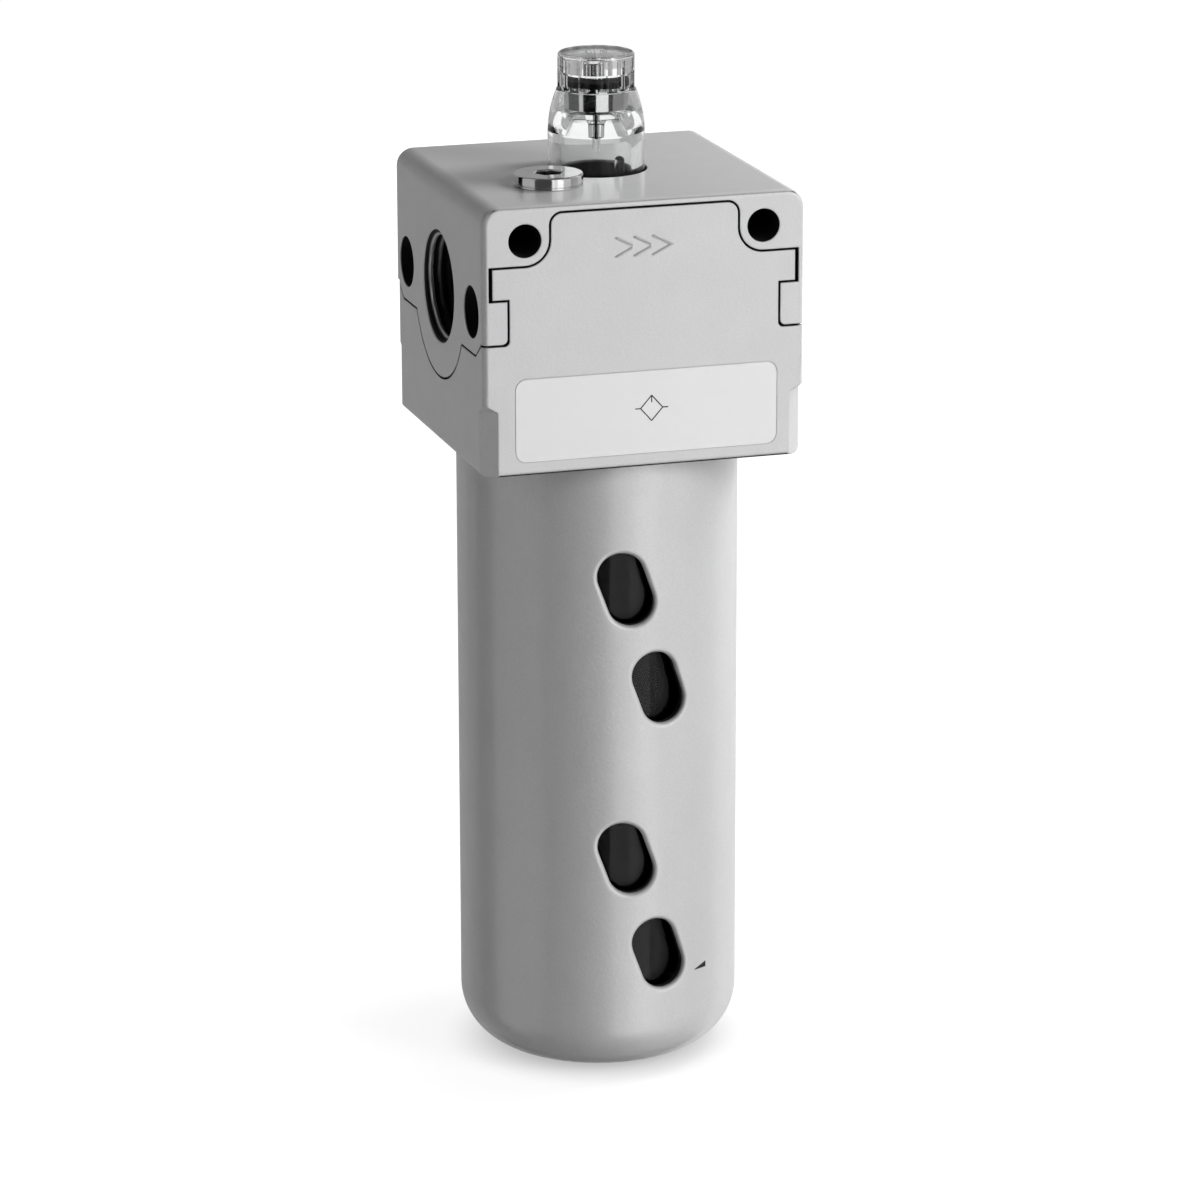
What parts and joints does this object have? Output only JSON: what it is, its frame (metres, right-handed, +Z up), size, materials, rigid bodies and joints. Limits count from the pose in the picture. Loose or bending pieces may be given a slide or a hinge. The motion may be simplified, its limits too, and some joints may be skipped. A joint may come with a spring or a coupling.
{
  "type": "air line lubricator",
  "caption": "Square metal head with threaded side ports, clear sight dome and filler plug on top, and a long round bowl guard with slanted sight slots below.",
  "frame": {"origin": "centre of the bowl guard's foot, on the plane that the unit stands on", "axes": "+Z up along the bowl's axis, +X along the air flow from inlet to outlet, -Y out of the front face with the label"},
  "size_m": [0.06, 0.0584, 0.1889],
  "materials": {
    "body_paint": "light grey powder coat, semi-gloss, fine orange peel",
    "cover_paint": "light grey powder coat, semi-gloss, fine orange peel",
    "guard_paint": "light grey powder coat, semi-gloss, fine orange peel",
    "label_film": "pale printed film",
    "clear_bowl": "clear moulded plastic, gloss",
    "clear_dome": "clear moulded plastic, gloss",
    "black_rubber": "black nitrile rubber",
    "dark_plastic": "dark moulded plastic",
    "bright_steel": "bright steel",
    "nickel_plate": "polished nickel plate",
    "brass": "turned brass",
    "sintered_bronze": "sintered bronze, matte",
    "siphon_plastic": "milky moulded plastic"
  },
  "bodies": {
    "head": {"upper_body": "body_paint", "lower_cover": "cover_paint", "plain_label": "label_film", "manifold": "dark_plastic", "manifold_seal": "black_rubber", "manifold_screws": "bright_steel", "venturi_jet": "brass", "flap_pin": "bright_steel", "ball_seat": "brass", "siphon_tube": "siphon_plastic", "suction_strainer": "sintered_bronze", "sight_dome": "clear_dome", "dome_seal": "black_rubber", "drip_nozzle": "clear_dome"},
    "bowl": {"inner_bowl": "clear_bowl", "bowl_seal": "black_rubber"},
    "guard": {"bowl_guard": "guard_paint"},
    "plug_seal": {"filler_seal": "black_rubber"},
    "plug": {"filler_plug": "nickel_plate"},
    "oil_ring": {"screw_ring": "black_rubber"},
    "oil_screw": {"regulating_screw": "nickel_plate"},
    "flap": {"flow_flap": "dark_plastic"},
    "ball": {"check_ball": "bright_steel"}
  },
  "joints": [
    {"name": "bowl_lower", "type": "slide", "parent": "head", "child": "bowl", "axis": [0, 0, -1], "range_m": [0, 0.006]},
    {"name": "guard_turn", "type": "hinge", "parent": "bowl", "child": "guard", "pos_m": [0, 0, 0.12], "axis": [0, 0, -1], "range_deg": [0, 1080]},
    {"name": "plug_lift", "type": "slide", "parent": "head", "child": "plug_seal", "axis": [0, 0, 1], "range_m": [0, 0.005]},
    {"name": "plug_turn", "type": "hinge", "parent": "plug_seal", "child": "plug", "pos_m": [-0.0126, -0.01175, 0.1675], "axis": [0, 0, 1], "range_deg": [0, 1800]},
    {"name": "screw_lift", "type": "slide", "parent": "head", "child": "oil_ring", "axis": [0, 0, 1], "range_m": [0, 0.001]},
    {"name": "screw_turn", "type": "hinge", "parent": "oil_ring", "child": "oil_screw", "pos_m": [0, 0, 0.18], "axis": [0, 0, 1], "range_deg": [0, 720]},
    {"name": "flap_swing", "type": "hinge", "parent": "head", "child": "flap", "pos_m": [-0.003, 0, 0.1502], "axis": [0, -1, 0], "range_deg": [0, 60]},
    {"name": "ball_rise", "type": "slide", "parent": "head", "child": "ball", "axis": [0, 0, 1], "range_m": [0, 0.0014]}
  ],
  "couplings": [
    {"joint": "bowl_lower", "follows": "guard_turn", "m_per_rad": 0.0003183},
    {"joint": "plug_turn", "follows": "plug_lift", "rad_per_m": 6283.2},
    {"joint": "screw_turn", "follows": "screw_lift", "rad_per_m": 12566}
  ]
}
